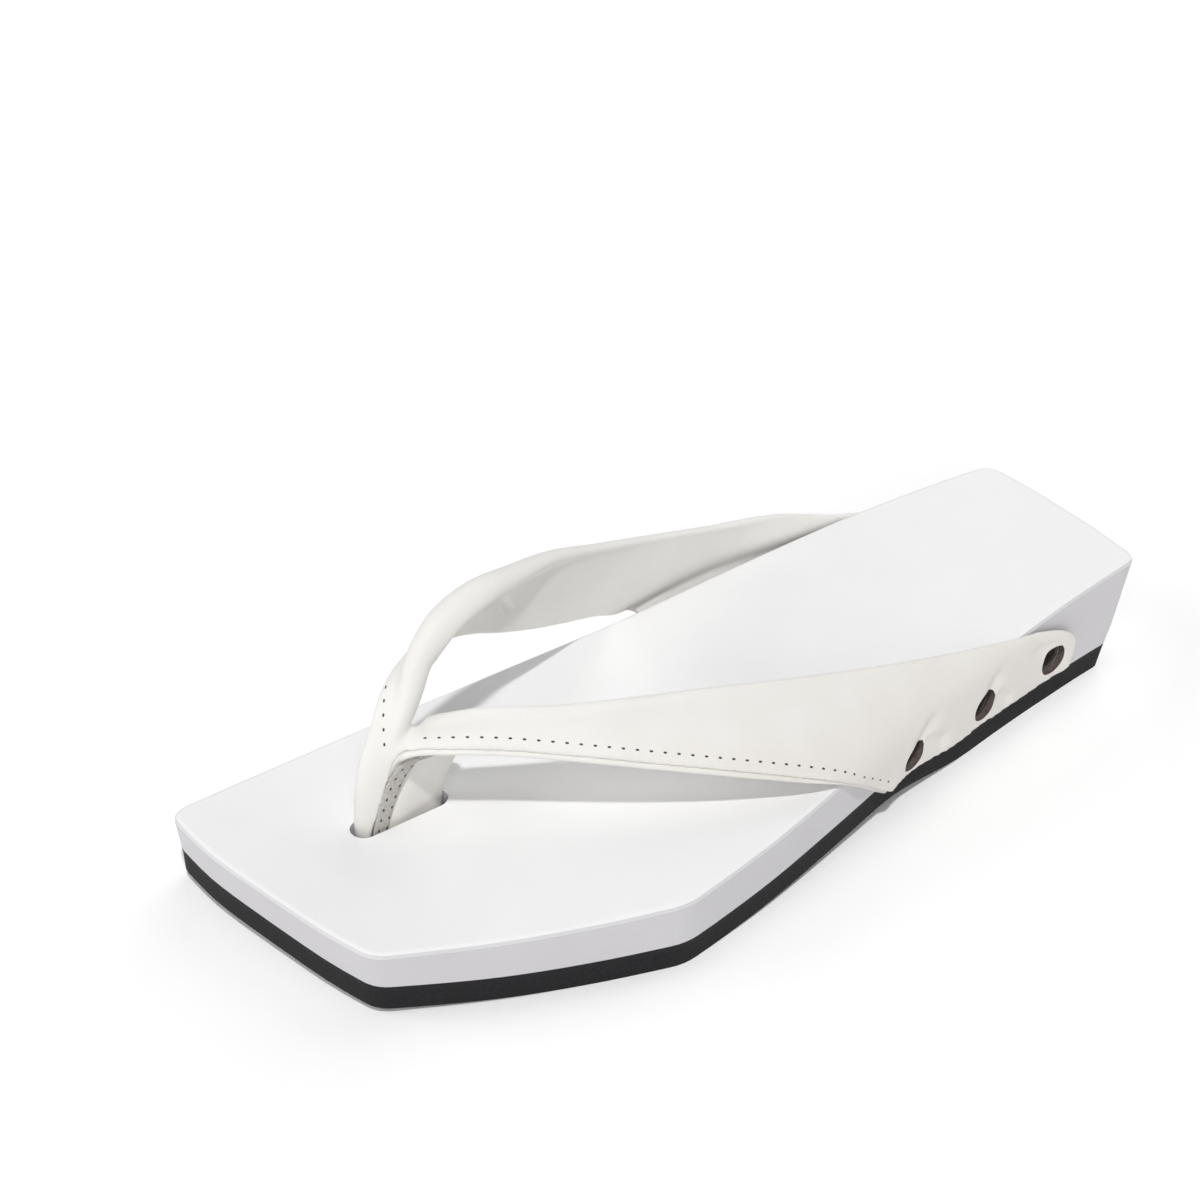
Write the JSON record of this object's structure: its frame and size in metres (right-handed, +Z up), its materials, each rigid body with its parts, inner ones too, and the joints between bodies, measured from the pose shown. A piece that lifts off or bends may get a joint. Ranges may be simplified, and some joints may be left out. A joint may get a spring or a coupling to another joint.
{
  "type": "geta sandal",
  "caption": "Low wooden sandal: white painted block with an angular toe, black rubber outsole and a wide white leather V strap on a toe post, holed at its side ends.",
  "frame": {"origin": "middle of the footprint's box, on the floor", "axes": "toe towards -Y, heel towards +Y, lateral side towards +X, up is +Z"},
  "size_m": [0.101, 0.2516, 0.0695],
  "materials": {
    "painted_wood": "satin white paint",
    "rubber": "matt black",
    "leather": "soft fine-grained off-white"
  },
  "bodies": {
    "root": {"base": "painted_wood", "outsole": "rubber", "upper": "leather", "toe_post": "leather"}
  },
  "joints": []
}
